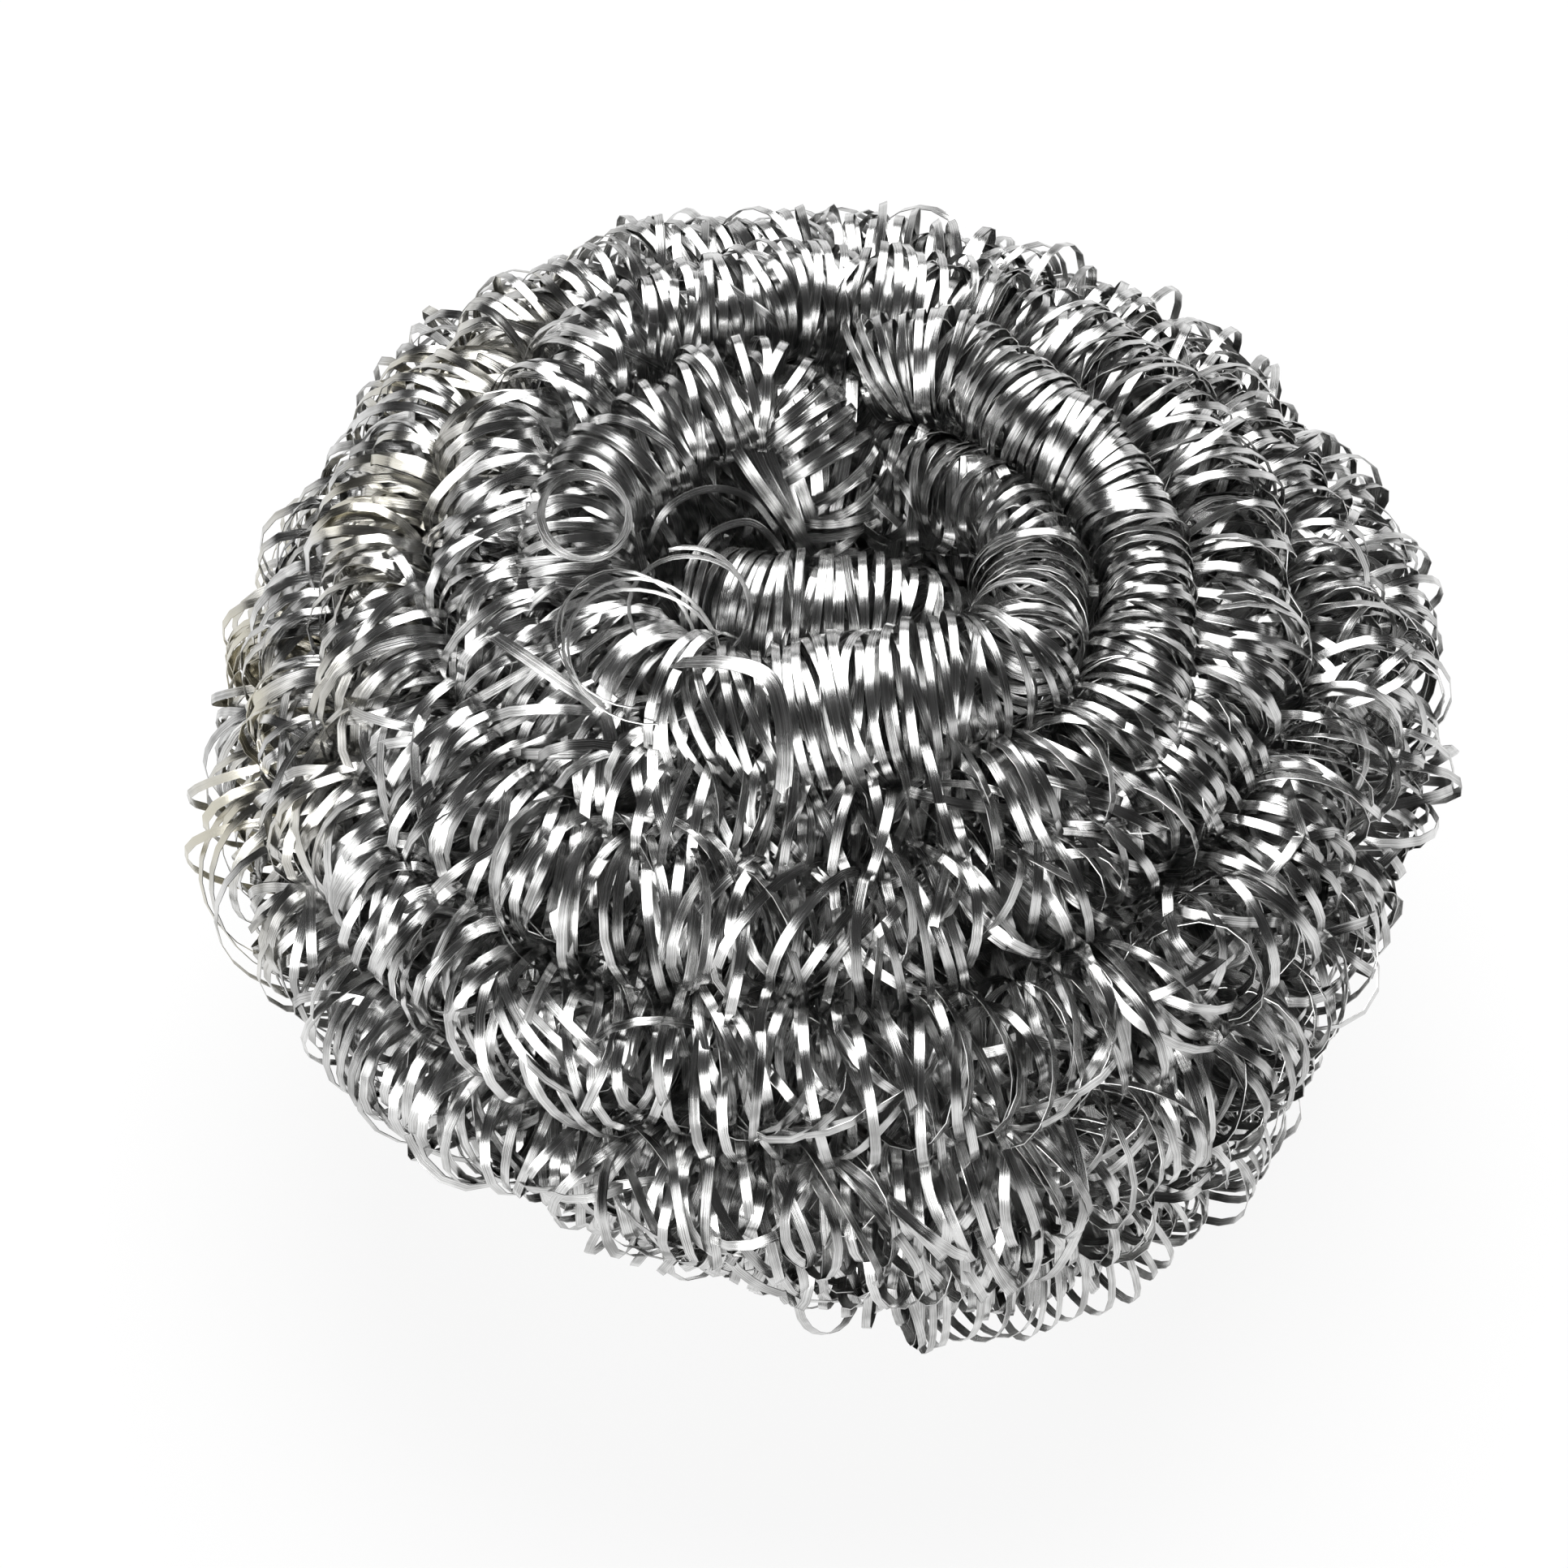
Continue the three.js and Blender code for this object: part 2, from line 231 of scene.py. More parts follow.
# Loose strips of the rose: their places, the way their flat side faces, and width
LOOSE_STRIPS = [
    ([(-9.6, -13.4, 49.0), (-6.3, -14.3, 50.1), (-4.0, -15.5, 50.3), (-3.2, -17.4, 49.4),
      (-3.0, -19.4, 47.6), (-3.2, -20.9, 45.2)], (0, -0.4, 1), 0.95),
    ([(-20.6, -8.2, 45.6), (-18.5, -10.7, 46.6), (-16.0, -13.0, 46.8), (-13.6, -14.9, 46.4),
      (-12.8, -17.3, 45.2)], (0, -0.4, 1), 0.8),
    ([(-13.2, -4.6, 47.4), (-16.7, -5.4, 46.9), (-20.6, -4.6, 45.2)], (0, -0.4, 1), 0.8),
    ([(-11.4, -0.6, 43.5), (-10.1, 0.9, 45.8), (-7.7, 1.7, 46.8), (-5.2, 1.8, 46.0),
      (-3.4, 1.2, 43.5)], (0, -0.6, 0.8), 0.45),
    ([(-9.0, -2.6, 44.0), (-7.4, -1.2, 46.0), (-5.3, -0.7, 46.6), (-3.9, -1.2, 45.9),
      (-2.6, -2.0, 44.0)], (0, -0.6, 0.8), 0.45),
]
STRIP_SAMPLES = 8  # from one place to the next
STRIP_TWIST = (-0.2, 0.3)  # from end to end, in radians
# Fans of strips in the hollow: the places of the first and of the last strip, and their number
FANS = [
    ([(-7.3, 10.4, 46.2), (-6.3, 5.5, 46.0), (-2.1, 2.7, 40.8), (-1.2, 3.0, 37.0)],
     [(0.4, 12.0, 45.2), (1.0, 7.6, 44.3), (-0.4, 3.6, 40.0), (-0.6, 3.4, 37.0)], 12),
    ([(5.4, 11.2, 42.0), (3.0, 8.4, 44.4), (1.0, 4.6, 41.0), (0.6, 3.8, 38.5)],
     [(8.4, 8.8, 42.4), (9.8, 4.5, 45.8), (11.0, 0.4, 44.6), (11.0, -0.8, 42.6)], 13),
]
FAN_WIDTH = 0.74
FAN_SCATTER = 0.3  # how far the strips of a fan leave their even places
FAN_FACING = (0, -0.6, 0.8)

# Steel with fine lines along the ribbon, rounded rims, uneven tones in lines and patches, and a
# painted warm reflection in blotches on one side. The lines' scale is along and across the ribbon,
# and the patches' and blotches' are for a metre.
DARK_STEEL = (0.32, 0.32, 0.315, 1)
LIGHT_STEEL = (0.76, 0.76, 0.755, 1)
# The straw colour of the painted warm reflection
PAINTED_REFLECTION_TINT = (0.62, 0.595, 0.51, 1)
LINE_SCALE = (0.1, 14, 1)
LINE_DETAIL = 3.0
PATCH_SCALE = 450.0
PATCH_DETAIL = 2.0
TONE_RANGE = (0.82, 1.18)
BLOTCH_SCALE = 110.0
BLOTCH_DETAIL = 1.0
BLOTCH_RANGE = (0.4, 0.6)
# The side where the warm reflection is painted, and where it starts and is full
PAINTED_REFLECTION_SIDE = (-1, 0.35, 0)
PAINTED_REFLECTION_RANGE = (0.023, 0.033)  # where it starts and is full on that side, in metres
ROUGHNESS = (0.18, 0.28)
ROUGHNESS_LINES = (0.3, 0.7)  # the lines' values where it is least and most
RIM_RANGE = (0.34, 0.5)  # where the rounding starts and ends, as shares of the ribbon's width
RELIEF_STRENGTH = 0.25
RELIEF_DEPTH = 0.00003

# The camera of the photograph: in front of the roll, and looking down on it
CAMERA_ELEVATION = 52.5
CAMERA_TARGET = (-3.05, -2.62, 23.49)
CAMERA_DISTANCE = 300
CAMERA_CLIP_START = 0.01  # in metres
SENSOR_WIDTH = 36
PHOTO_WIDTH_PIXELS = 1932
FOCAL_LENGTH_PIXELS = 5855

# The studio, in metres
BENCH_REACH = 1.5
BENCH_WALL = 0.35
BENCH_WALL_STEPS = 12
BENCH_SIDES = 96
BENCH_COLOUR = (0.95, 0.95, 0.95, 1)
BENCH_ROUGHNESS = 0.8
BENCH_GLOW = 0.88
WORLD_LEVEL = 0.03
# Softboxes: name, place, what they face, size and watts
SOFTBOXES = [
    ("top_softbox", (0.03, 0.31, 0.50), (0, 0, 0), (0.5, 0.64), 4.8),
    ("left_softbox", (-0.44, -0.24, 0.30), (0, 0, 0.02), (0.3, 0.3), 0.5),
    ("front_softbox", (-0.14, -0.55, 0.20), (0, 0, 0.02), (0.6, 0.38), 3.0),
]

Rope = namedtuple("Rope", "s place along across over radius outward")
Course = namedtuple("Course", "turns most s length slack")
Strip = namedtuple("Strip", "points across width")


def smooth(value, start, end):
    share = np.clip((value - start) / (end - start), 0, 1)
    return share * share * (3 - 2 * share)


def unit(vectors):
    return vectors / np.maximum(np.linalg.norm(vectors, axis=-1, keepdims=True), 1e-9)


def lengths_along(points):
    """The length from the first point to each of the points."""
    return np.concatenate([[0], np.cumsum(np.linalg.norm(np.diff(points, axis=0), axis=1))])


def between(ends, slack):
    """A value between those of a tight and of a slack coil."""
    tight, loose = ends
    return tight + (loose - tight) * slack


def outline(slope):
    """The bun's outline through the rope's centre line: its reach and height at a slope."""
    height = MIDDLE_HEIGHT + np.where(slope > 0, RISE, DROP) * np.sin(slope)
    return LINE_RADIUS * np.cos(slope), height


OUTLINE_SLOPES = np.linspace(math.pi / 2, -math.pi / 2, OUTLINE_POINTS)
OUTLINE_STEPS = np.hypot(*(np.diff(line) for line in outline(OUTLINE_SLOPES)))
OUTLINE_LENGTHS = np.concatenate([[0], np.cumsum(OUTLINE_STEPS)])
ROWS_END_DISTANCE = OUTLINE_LENGTHS[-1] - ROWS_END_GAP


def around(azimuth, radius, z):
    """A place beside an upright axis, with the azimuth in degrees."""
    angle = math.radians(azimuth)
    return np.array([radius * math.cos(angle), radius * math.sin(angle), z])


def drawn_in(azimuth, z):
    """How far the dents draw the bun in at an azimuth and a height."""
    depth = 0
    for middle, spread, most, start, full in DENTS:
        away = (azimuth - middle + 180) % 360 - 180
        depth += most * math.exp(-((away / spread) ** 2)) * smooth(z, start, full)
    return depth


def bun_point(azimuth, distance, rise=0.0):
    """A point of the bun: azimuth in degrees, distance along its outline from the top, and how
    far it stands out of the rope's centre line."""
    reach, height = outline(np.interp(distance, OUTLINE_LENGTHS, OUTLINE_SLOPES))
    outward = 1 + rise / LINE_RADIUS
    z = MIDDLE_HEIGHT + (height - MIDDLE_HEIGHT) * outward
    radius = reach * outward * (1 - drawn_in(azimuth, z) / LINE_RADIUS)
    slump = SLUMP * smooth(z, MIDDLE_HEIGHT, 0)
    return around(azimuth, radius, z) + around(SLUMP_AZIMUTH, slump, 0)


def rose_knots(table):
    """The knots of a rope in the rose: their places, and the rope's thickness as a share."""
    knots = []
    for azimuth, rows, sink, share in table:
        height = ROLL_HEIGHT - sink - share * ROPE_RADIUS
        knots.append((*around(azimuth, rows * ROW_PITCH, height), share))
    return knots


def row_knots(rise=0.0):
    """The knots of the rows, down to the middle of the flat spot."""
    knots = []
    turned = 360 * (ROWS_END_DISTANCE - ROWS_START_DISTANCE) / ROW_PITCH
    for angle in np.arange(0, turned + 1, ROWS_KNOT_ANGLE):
        shift = ROW_SWAY * math.sin(math.radians(angle * ROW_SWAYS_A_TURN))
        share = 1 + ROW_SWELL * math.sin(math.radians(angle * ROW_SWELLS_A_TURN))
        distance = ROWS_START_DISTANCE + ROW_PITCH * angle / 360 + shift
        x, y, z = bun_point(ROWS_START_AZIMUTH - angle, distance, rise)
        knots.append((x, y, max(z, LOWEST_LINE - rise), share))
    return knots


def line_through(knots, samples):
    """A Catmull-Rom line through the knots, sampled evenly between each two."""
    knots = np.array(knots, float)
    ends = np.concatenate([[2 * knots[0] - knots[1]], knots, [2 * knots[-1] - knots[-2]]])
    t = np.linspace(0, 1, samples, endpoint=False)[:, None]
    pieces = []
    for a, b, c, d in zip(ends, ends[1:], ends[2:], ends[3:]):
        bend = (2 * a - 5 * b + 4 * c - d) * t**2 + (3 * b - a - 3 * c + d) * t**3
        pieces.append(b + 0.5 * ((c - a) * t + bend))
    return np.concatenate(pieces + [knots[-1:]])


def carried_along(along, first):
    """A direction across a line, carried along it without turning round it."""
    across = np.empty_like(along)
    for i, direction in enumerate(along):
        first = first - first @ direction * direction
        first /= np.linalg.norm(first)
        across[i] = first
    return across


def make_rope(knots):
    """The rope through the knots, as places along it with the directions across it, its radius and
    the angle round it that faces out of the bun."""
    line = line_through(knots, KNOT_SAMPLES)
    lengths = lengths_along(line[:, :3])
    s = np.arange(0, lengths[-1], ROPE_STEP)
    line = np.stack([np.interp(s, lengths, column) for column in line.T], 1)
    place = line[:, :3]
    along = unit(np.gradient(place, axis=0))
    outward = place * [LINE_RADIUS**-2, LINE_RADIUS**-2, 0]
    outward[:, 2] = (place[:, 2] - MIDDLE_HEIGHT) / RISE**2
    outward = unit(outward)
    across = carried_along(along, outward[0] - outward[0] @ along[0] * along[0])
    over = np.cross(along, across)
    angle = np.unwrap(np.arctan2((outward * over).sum(1), (outward * across).sum(1)))
    return Rope(s, place, along, across, over, line[:, 3] * ROPE_RADIUS, angle)


def stretch_of(rope, start, end):
    """The stretch of a rope between two lengths along it."""
    chosen = (rope.s >= start) & (rope.s <= end)
    cut = Rope(*(column[chosen] for column in rope))
    return cut._replace(s=cut.s - cut.s[0])


def rope_at(rope, s):
    """The rope at other lengths along it."""
    def read(column):
        if column.ndim == 1:
            return np.interp(s, rope.s, column)
        return np.stack([np.interp(s, rope.s, part) for part in column.T], 1)

    at = Rope(*(read(column) for column in rope))
    return at._replace(along=unit(at.along), across=unit(at.across), over=unit(at.over))


def drift(rng, swing, most):
    """A smooth random value from -1 to 1 against a length up to most, and a swing's own length."""
    values = rng.uniform(-1, 1, int(most / swing) + 4)

    def value_at(s):
        at = s / swing
        before = np.clip(at.astype(int), 0, len(values) - 2)
        share = at - before
        share = share * share * (3 - 2 * share)
        return values[before] * (1 - share) + values[before + 1] * share

    return value_at


def slackness(rope, rng, knots):
    """How slack a rope is at each of its places: knots of length and slackness, and patches."""
    lengths, values = zip(*knots)
    patches = SLACK_PATCHES * drift(rng, SLACK_PATCH_SWING, rope.s[-1])(rope.s)
    return np.clip(np.interp(rope.s, lengths, values) + patches, 0, 1)


def course_of(rope, rng, loose, pitch, sides):
    """The course of a strand: how many turns it has made at each of its points, how far along the
    rope that is, and how slack the rope is there."""
    length = rope.s[-1]
    bunches = 1 + BUNCHING * drift(rng, BUNCH_SWING, length)(rope.s)
    pace = between(pitch, loose) * bunches
    steps = np.diff(rope.s) * 2 / (pace[1:] + pace[:-1])
    turns_at = np.concatenate([[0], np.cumsum(steps)])
    turns = np.arange(0, turns_at[-1], 1 / sides)
    s = np.interp(turns, turns_at, rope.s)
    return Course(turns, turns_at[-1] + 1, s, length, np.interp(s, rope.s, loose))


def sway(course, rng, size, swing):
    """A smooth random value along a strand, in swings of some turns."""
    return between(size, course.slack) * drift(rng, swing, course.most)(course.turns)


def standing_out(course, rng, off_top, loops):
    """How much farther the picked share of slack turns reaches at an angle from the rope's top."""
    picked = rng.uniform(size=int(course.most) + 2) < loops
    reach = picked * rng.uniform(LEAST_LOOP, 1, len(picked)) * LOOP_REACH
    nearest = np.clip(np.round(off_top / (2 * np.pi)).astype(int), 0, len(reach) - 1)
    return course.slack * reach[nearest] * np.maximum(np.cos(off_top), 0) ** LOOP_TAPER


def turn_radius(course, rng, at, angle, share, loops):
    """The uneven radius of the turns."""
    quick, slow = JITTER_TURNS
    radius = at.radius * between(share, course.slack)
    radius = radius * (1 + sway(course, rng, JITTER, quick) + sway(course, rng, JITTER, slow))
    roll = OVAL_ROLL * drift(rng, OVAL_TURNS, course.most)(course.turns)
    radius = radius * (1 + between(OVAL, course.slack) * np.cos(2 * angle + roll))
    if loops:
        radius = radius + standing_out(course, rng, angle - at.outward, loops)
    return radius


def tip_over(course, rng, at, angle, radius):
    """How far the points of the turns move where the turns tip over, and the turns' own axis."""
    lean = between(LEAN, course.slack) * drift(rng, LEAN_SWING, course.length)(course.s)
    lean = np.radians(lean + LEAN_FLUTTER * sway(course, rng, LEAN, LEAN_FLUTTER_TURNS))
    side = 2 * np.pi * drift(rng, LEAN_SIDE_SWING, course.length)(course.s)
    toward = np.cos(side)[:, None] * at.across + np.sin(side)[:, None] * at.over
    moved = (np.cos(lean) - 1)[:, None] * toward + np.sin(lean)[:, None] * at.along
    axis = np.cos(lean)[:, None] * at.along - np.sin(lean)[:, None] * toward
    return (radius * np.cos(angle - side))[:, None] * moved, axis


def stray_off(course, rng, outward, stray):
    """How far a strand leaves the middle of the rope, across it and over it."""
    aside, above = (between(stray, course.slack) * drift(rng, STRAY_SWING, course.length)(course.s)
                    + sway(course, rng, WANDER, WANDER_TURNS) for _ in range(2))
    too_far = np.maximum(aside * np.cos(outward) + above * np.sin(outward) - MOST_OUT, 0)
    return aside - too_far * np.cos(outward), above - too_far * np.sin(outward)


def flat_across(points, direction, turned_up):
    """The way across a ribbon: as near to a direction as it can lie, then turned up by an angle."""
    heading = unit(np.gradient(points, axis=0))
    level = unit(direction - (direction * heading).sum(1, keepdims=True) * heading)
    up = np.cross(heading, level)
    return level * np.cos(turned_up)[:, None] + up * np.sin(turned_up)[:, None]


def coil(rope, rng, loose, share, pitch, stray, loops, sides):
    """A strand of ribbon curled along a rope. loose says how slack the rope is at each of its
    places, from 0 for a tight coil to 1. share, the radius as a share of the rope's, pitch, the
    rope's length for one turn, and stray, how far the strand leaves the middle of the rope, are
    given for the tight and for the slack coil. loops is the share of slack turns that stand out."""
    course = course_of(rope, rng, loose, pitch, sides)
    at = rope_at(rope, course.s)
    angle = 2 * np.pi * (course.turns + rng.uniform())
    radius = turn_radius(course, rng, at, angle, share, loops)
    tipped, axis = tip_over(course, rng, at, angle, radius)
    aside, above = stray_off(course, rng, at.outward, stray)
    points = at.place + tipped
    points += (radius * np.cos(angle) + aside)[:, None] * at.across
    points += (radius * np.sin(angle) + above)[:, None] * at.over
    turned_up = np.radians(TILE_ANGLE + sway(course, rng, TWIST, TWIST_TURNS))
    return Strip(points, flat_across(points, axis, turned_up), between(RIBBON_WIDTH, course.slack))


def standing_loops(rope, rng, start, end, share, pitch, slack):
    """A coil that is larger than the rope, along a stretch of it."""
    stretch = stretch_of(rope, start, end)
    loose = np.full(len(stretch.s), slack)
    stray = (STANDING_STRAY, STANDING_STRAY)
    return coil(stretch, rng, loose, (share, share), (pitch, pitch), stray, 0, STANDING_SIDES)


def loose_coil(middle, facing, radius, turns, rise, start, width):
    """A loose coil on its own: its middle, the way that its axis points, its radius, its number of
    turns, how far each lies from the next, the angle where it starts, and the ribbon's width."""
    axis = unit(np.array(facing, float))
    across = unit(np.cross(axis, LOOSE_COIL_SIDEWAYS))
    over = np.cross(axis, across)
    turn = np.arange(0, turns, 1 / LOOSE_COIL_SIDES)
    angle = 2 * np.pi * turn + math.radians(start)
    swelling = radius * np.ones(len(turn))
    for share, waves, shift in LOOSE_COIL_SWELLS:
        swelling += radius * share * np.sin(waves * angle + shift)
    along = rise * (turn - turns / 2) + LOOSE_COIL_TILT * np.sin(angle)
    points = np.array(middle) + np.outer(along, axis)
    points += np.outer(swelling * np.cos(angle), across) + np.outer(swelling * np.sin(angle), over)
    turned_up = np.full(len(turn), LOOSE_COIL_TWIST)
    sideways = flat_across(points, np.broadcast_to(axis, points.shape), turned_up)
    return Strip(points, sideways, np.full(len(turn), width))


def loose_strip(places, flat_side, width):
    """A stretch of ribbon through given places, its flat side turned one way."""
    points = line_through(places, STRIP_SAMPLES)
    sideways = np.broadcast_to(unit(np.cross(points[-1] - points[0], flat_side)), points.shape)
    turned_up = np.linspace(*STRIP_TWIST, len(points))
    return Strip(points, flat_across(points, sideways, turned_up), np.full(len(points), width))


def fan(rng, first, last, count):
    """Strips side by side, from a first to a last one given by their places."""
    strips = []
    for share in np.linspace(0, 1, count):
        places = between((np.array(first), np.array(last)), share)
        places = places + rng.normal(0, FAN_SCATTER, places.shape)
        facing = np.array(FAN_FACING) + rng.normal(0, FAN_SCATTER, 3)
        strips.append(loose_strip(places, facing, FAN_WIDTH))
    return strips


def strip_corners(strip):
    """The four corners of a strip's section at each of its points, kept clear of the bench."""
    points = strip.points.copy()
    half = 0.5 * strip.width[:, None] * strip.across
    lowest = np.abs(half[:, 2]) + RIBBON_THICKNESS / 2 + CLEARANCE
    points[:, 2] = np.maximum(points[:, 2], lowest)
    heading = unit(np.gradient(points, axis=0))
    face = unit(np.cross(heading, strip.across)) * RIBBON_THICKNESS / 2
    return np.stack([points + half + face, points - half + face,
                     points - half - face, points + half - face], 1)


def boxes_to_corners(boxes):
    """The corners of boxes given as start, end, lower and upper, in the order of a side's."""
    start, end, lower, upper = boxes.T
    return np.stack([start, lower, end, lower, end, upper, start, upper], 1)


def strip_sides(lengths, section):
    """The faces of a strip's four sides, with its first section's number, and where they lie in
    the ribbon map: the length along the ribbon, and the share across each side."""
    first = section + np.arange(len(lengths) - 1)
    faces, boxes = [], []
    for side in range(4):
        near = 4 * first + side
        far = 4 * first + (side + 1) % 4
        faces.append(np.stack([near, near + 4, far + 4, far], 1))
        lower = np.full(len(first), side)
        upper = lower + (EDGE_SHARE if side % 2 else 1.0)
        boxes.append(np.stack([lengths[:-1], lengths[1:], lower, upper], 1))
    return np.concatenate(faces), boxes_to_corners(np.concatenate(boxes))


def strip_ends(number, first, last, top):
    """The faces of a strip's two ends, at its first and its last section, and where they lie in
    both maps: in a row of ends above the rows of ribbon."""
    faces = [[4 * first + k for k in range(4)], [4 * last + 3 - k for k in range(4)]]
    start = (2 * number + np.arange(2)) * (WIDEST_RIBBON + FLAT_GAP)
    lower = np.full(2, top)
    boxes = np.stack([start, start + WIDEST_RIBBON, lower, lower + RIBBON_THICKNESS], 1)
    return np.array(faces), boxes_to_corners(boxes)


def laid_flat(lengths, widths, total, row_length):
    """Where the four sides of a ribbon's segments lie when it is cut into rows and laid flat, and
    the top of its last row."""
    row = np.floor((total + lengths[:-1]) / row_length)
    starts = total + lengths[:-1] - row * row_length
    ends = starts + np.diff(lengths)
    lower = row * GIRTH
    boxes = []
    for side in range(4):
        size = RIBBON_THICKNESS if side % 2 else widths[:-1]
        boxes.append(np.stack([starts, ends, lower, lower + size], 1))
        lower = lower + size + FLAT_GAP
    return boxes_to_corners(np.concatenate(boxes)), row[-1] * GIRTH + GIRTH


def ribbon_mesh(name, strips):
    """One mesh of all the strips, each a closed ribbon with four sides. Its UV map ribbon gives the
    length along the ribbon in millimetres and the share across each side, and OFBake lays all sides
    out flat."""
    faces, ribbon_map, flat_map = [], [], []
    lengths_of = [lengths_along(strip.points) for strip in strips]
    row_length = math.sqrt(sum(lengths[-1] for lengths in lengths_of) * GIRTH)
    section, total, top = 0, 0, 0
    for strip, lengths in zip(strips, lengths_of):
        side_faces, side_map = strip_sides(lengths, section)
        laid, top = laid_flat(lengths, strip.width, total, row_length)
        faces.append(side_faces)
        ribbon_map.append(side_map)
        flat_map.append(laid)
        total += lengths[-1] + 2 * FLAT_GAP
        section += len(lengths)
    section = 0
    for number, lengths in enumerate(lengths_of):
        end_faces, end_map = strip_ends(number, section, section + len(lengths) - 1, top)
        faces.append(end_faces)
        ribbon_map.append(end_map)
        flat_map.append(end_map)
        section += len(lengths)
    corners = np.concatenate([strip_corners(strip) for strip in strips]).reshape(-1, 3) * MM
    maps = np.concatenate(ribbon_map), np.concatenate(flat_map)
    return build_mesh(name, corners, np.concatenate(faces), *maps)


def build_mesh(name, corners, faces, ribbon_map, flat_map):
    """A mesh of four-sided faces, smooth round the ribbon's turns and sharp along its edges."""
    mesh = bpy.data.meshes.new(name)
    mesh.vertices.add(len(corners))
    mesh.vertices.foreach_set("co", corners.ravel())
    mesh.loops.add(faces.size)
    mesh.loops.foreach_set("vertex_index", faces.ravel())
    mesh.polygons.add(len(faces))
    mesh.polygons.foreach_set("loop_start", np.arange(0, faces.size, 4))
    mesh.polygons.foreach_set("use_smooth", np.ones(len(faces), bool))
    mesh.update(calc_edges=True)
    ends = np.empty(2 * len(mesh.edges), np.int32)
    mesh.edges.foreach_get("vertices", ends)
    along = np.abs(ends[::2] - ends[1::2]) == 4
    sharp = mesh.attributes.new("sharp_edge", "BOOLEAN", "EDGE")
    sharp.data.foreach_set("value", along)
    mesh.uv_layers.new(name="ribbon").uv.foreach_set("vector", ribbon_map.ravel())
    flat_map = flat_map / (FLAT_MARGIN * flat_map.max())
    mesh.uv_layers.new(name="OFBake").uv.foreach_set("vector", flat_map.ravel())
    return mesh


def add_piece(name, strips, material):
    piece = bpy.data.objects.new(name, ribbon_mesh(name, strips))
    bpy.context.scene.collection.objects.link(piece)
    piece.data.materials.append(material)
    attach(piece, "root")
    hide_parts(ROLL)


def add_rope(name, rope, rng, knots, strands, steel):
    """One piece of all the strands along a rope, with its knots of slackness."""
    loose = slackness(rope, rng, knots)
    add_piece(name, [coil(rope, rng, loose, *strand) for strand in strands], steel)


def add_rose(rng, steel):
    """The two tight ropes in the hollow, and the loose ribbon among them."""
    navel_end = make_rope(rose_knots(NAVEL_END))
    add_rope("navel_end", navel_end, rng, NAVEL_SLACKNESS, ROSE_STRANDS, steel)
    inner = make_rope(rose_knots(INNER_ROPE))
    add_rope("inner_rope", inner, rng, INNER_SLACKNESS, ROSE_STRANDS, steel)
    add_piece("fans", [strip for places in FANS for strip in fan(rng, *places)], steel)
    coils = [loose_coil(*sizes) for sizes in LOOSE_COILS]
    strips = [loose_strip(*sizes) for sizes in LOOSE_STRIPS]
    add_piece("loose_coils", coils + strips, steel)


def add_rows(rng, steel):
    """The outer rope, a piece for each of its strands, the loops that stand out of it, and two more
    layers of rows inside it."""
    outer = make_rope(rose_knots(OUTER_ROPE) + row_knots())
    loose = slackness(outer, rng, OUTER_SLACKNESS)
    for number, strand in enumerate(ROW_STRANDS, 1):
        add_piece(f"outer_rope_{number}", [coil(outer, rng, loose, *strand)], steel)
    loops = [standing_loops(outer, rng, *sizes) for sizes in STANDING_LOOPS]
    add_piece("standing_loops", loops, steel)
    packed = make_rope(row_knots(PACKED_RISE))
    add_rope("packed_rows", packed, rng, HIDDEN_SLACKNESS, PACKED_STRANDS, steel)
    deep = make_rope(row_knots(DEEP_RISE))
    add_rope("deep_rows", deep, rng, HIDDEN_SLACKNESS, DEEP_STRANDS, steel)


def add_node(tree, kind, inputs=(), **settings):
    """A shader node with its settings, and a value or another node's output for each input."""
    made = tree.nodes.new("ShaderNode" + kind)
    for name, value in settings.items():
        setattr(made, name, value)
    for socket, source in inputs:
        if isinstance(source, (int, float, tuple)):
            made.inputs[socket].default_value = source
        else:
            tree.links.new(source, made.inputs[socket])
    return made.outputs


def calculate(tree, operation, *values):
    return add_node(tree, "Math", list(enumerate(values)), operation=operation)["Value"]


def ranged(tree, value, start, end, low=0.0, high=1.0):
    """The share of the way from start to end, or the value from low to high at that share."""
    inputs = [("Value", value), ("From Min", start), ("From Max", end),
              ("To Min", low), ("To Max", high)]
    return add_node(tree, "MapRange", inputs)["Result"]


def noise(tree, place, scale, detail):
    inputs = [("Vector", place), ("Scale", scale), ("Detail", detail)]
    return add_node(tree, "TexNoise", inputs)["Fac"]


def mixed_colour(tree, share, first, second):
    inputs = [("Factor", share), (6, first), (7, second)]
    return add_node(tree, "Mix", inputs, data_type="RGBA")[2]


def steel_colour(tree, lines):
    """Uneven grey, with a painted warm reflection: a straw tint in blotches on the bun's left side.
    """
    place = add_node(tree, "TexCoord")["Object"]
    patches = noise(tree, place, PATCH_SCALE, PATCH_DETAIL)
    tones = ranged(tree, calculate(tree, "ADD", lines, patches), *TONE_RANGE)
    steel = mixed_colour(tree, tones, DARK_STEEL, LIGHT_STEEL)
    inputs = [(0, place), (1, PAINTED_REFLECTION_SIDE)]
    side = add_node(tree, "VectorMath", inputs, operation="DOT_PRODUCT")["Value"]
    blotches = ranged(tree, noise(tree, place, BLOTCH_SCALE, BLOTCH_DETAIL), *BLOTCH_RANGE)
    # The painted warm reflection: a straw tint in blotches on the bun's left side
    painted_reflection = calculate(tree, "MULTIPLY", ranged(tree, side, *PAINTED_REFLECTION_RANGE), blotches)
    return mixed_colour(tree, painted_reflection, steel, PAINTED_REFLECTION_TINT)


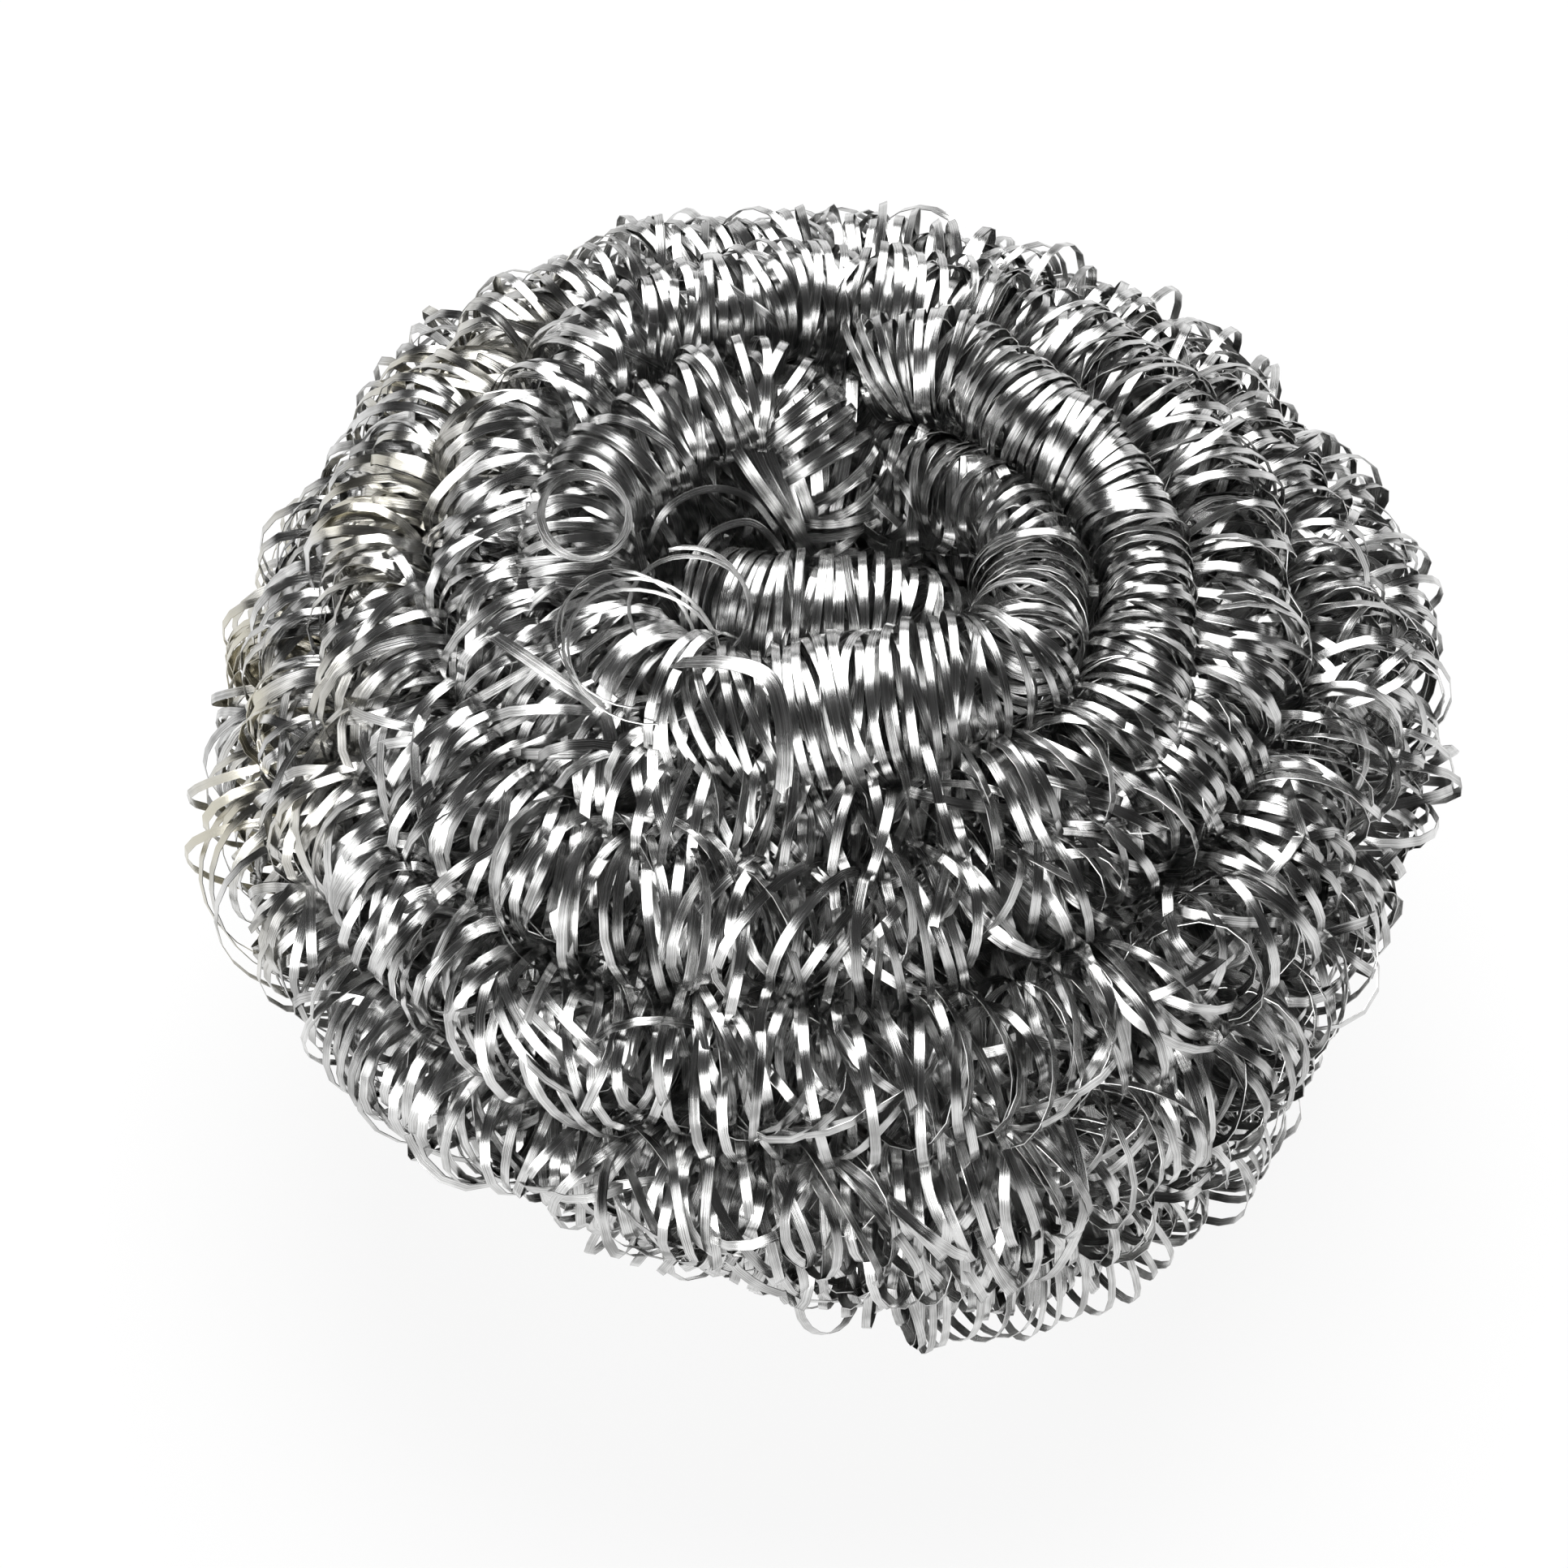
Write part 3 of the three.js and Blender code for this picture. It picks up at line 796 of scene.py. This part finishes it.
def steel_relief(tree, ribbon, lines):
    """Fine lines, and rims that fall off on both sides of the ribbon."""
    across = calculate(tree, "FRACT", add_node(tree, "SeparateXYZ", [("Vector", ribbon)])["Y"])
    off_middle = calculate(tree, "ABSOLUTE", calculate(tree, "SUBTRACT", across, 0.5))
    rim = ranged(tree, off_middle, *RIM_RANGE)
    relief = calculate(tree, "SUBTRACT", lines, rim)
    inputs = [("Height", relief), ("Strength", RELIEF_STRENGTH), ("Distance", RELIEF_DEPTH)]
    return add_node(tree, "Bump", inputs)["Normal"]


def steel_material():
    """Bright rolled steel ribbon."""
    material = bpy.data.materials.new("steel_ribbon")
    material.use_nodes = True
    tree = material.node_tree
    shader = tree.nodes["Principled BSDF"]
    shader.inputs["Metallic"].default_value = 1.0
    ribbon = add_node(tree, "UVMap", uv_map="ribbon")["UV"]
    stretched = add_node(tree, "Mapping", [("Vector", ribbon), ("Scale", LINE_SCALE)])["Vector"]
    lines = noise(tree, stretched, 1.0, LINE_DETAIL)
    roughness = ranged(tree, lines, *ROUGHNESS_LINES, *ROUGHNESS)
    tree.links.new(steel_colour(tree, lines), shader.inputs["Base Color"])
    tree.links.new(roughness, shader.inputs["Roughness"])
    tree.links.new(steel_relief(tree, ribbon, lines), shader.inputs["Normal"])
    return material


def set_camera():
    elevation = math.radians(CAMERA_ELEVATION)
    back = Vector((0, -math.cos(elevation), math.sin(elevation)))
    data = bpy.data.cameras.new("camera")
    data.sensor_width = SENSOR_WIDTH
    data.lens = SENSOR_WIDTH * FOCAL_LENGTH_PIXELS / PHOTO_WIDTH_PIXELS
    data.clip_start = CAMERA_CLIP_START
    camera = bpy.data.objects.new("camera", data)
    camera.location = Vector(CAMERA_TARGET) * MM + back * (CAMERA_DISTANCE * MM)
    camera.rotation_euler = back.to_track_quat("Z", "Y").to_euler()
    bpy.context.scene.collection.objects.link(camera)
    bpy.context.scene.camera = camera


def add_softbox(name, place, aim, size, power):
    data = bpy.data.lights.new(name, "AREA")
    data.shape = "RECTANGLE"
    data.size, data.size_y = size
    data.energy = power
    lamp = bpy.data.objects.new(name, data)
    lamp.location = place
    lamp.visible_camera = False
    lamp.rotation_euler = (Vector(place) - Vector(aim)).to_track_quat("Z", "Y").to_euler()
    bpy.context.scene.collection.objects.link(lamp)


def set_world():
    world = bpy.data.worlds.new("studio")
    world.use_nodes = True
    ground = world.node_tree.nodes["Background"]
    ground.inputs["Color"].default_value = (1, 1, 1, 1)
    ground.inputs["Strength"].default_value = WORLD_LEVEL
    bpy.context.scene.world = world


def bench_material():
    """White, with most of it glowing for the camera and for the metal, so the shadow is faint."""
    material = bpy.data.materials.new("white_bench")
    material.use_nodes = True
    tree = material.node_tree
    shader = tree.nodes["Principled BSDF"]
    shader.inputs["Base Color"].default_value = BENCH_COLOUR
    shader.inputs["Roughness"].default_value = BENCH_ROUGHNESS
    ray = add_node(tree, "LightPath")
    seen = calculate(tree, "MAXIMUM", ray["Is Camera Ray"], ray["Is Glossy Ray"])
    seen = calculate(tree, "MAXIMUM", seen, ray["Is Transmission Ray"])
    share = calculate(tree, "MULTIPLY", seen, BENCH_GLOW)
    glow = add_node(tree, "Emission")["Emission"]
    inputs = [("Fac", share), (1, shader.outputs["BSDF"]), (2, glow)]
    mix = add_node(tree, "MixShader", inputs)["Shader"]
    tree.links.new(mix, tree.nodes["Material Output"].inputs["Surface"])
    return material


def bench_profile():
    """The bench's reach and height, from its middle out to the top of its wall."""
    profile = [(0, 0), (BENCH_REACH - BENCH_WALL, 0)]
    for step in range(1, BENCH_WALL_STEPS + 1):
        angle = math.radians(90 * step / BENCH_WALL_STEPS)
        reach = BENCH_REACH - BENCH_WALL * (1 - math.sin(angle))
        profile.append((reach, BENCH_WALL * (1 - math.cos(angle))))
    return profile


def add_bench():
    """A flat bench that curves up into a low wall all round."""
    profile = bench_profile()
    corners, faces = [(0, 0, 0)], []
    for reach, height in profile[1:]:
        for turn in range(BENCH_SIDES):
            angle = 2 * math.pi * turn / BENCH_SIDES
            corners.append((reach * math.cos(angle), reach * math.sin(angle), height))
    for turn in range(BENCH_SIDES):
        following = (turn + 1) % BENCH_SIDES
        faces.append((0, 1 + turn, 1 + following))
        for ring in range(len(profile) - 2):
            near, far = 1 + ring * BENCH_SIDES, 1 + (ring + 1) * BENCH_SIDES
            faces.append((near + turn, far + turn, far + following, near + following))
    mesh = bpy.data.meshes.new("bench")
    mesh.from_pydata(corners, [], faces)
    mesh.polygons.foreach_set("use_smooth", [True] * len(faces))
    mesh.materials.append(bench_material())
    bench = bpy.data.objects.new("bench", mesh)
    bpy.context.scene.collection.objects.link(bench)


set_camera()
for softbox in SOFTBOXES:
    add_softbox(*softbox)
set_world()
add_bench()

steel = steel_material()
rng = np.random.default_rng(SEED)
add_rose(rng, steel)
add_rows(rng, steel)

scene = bpy.context.scene
scene.view_settings.view_transform = "Standard"
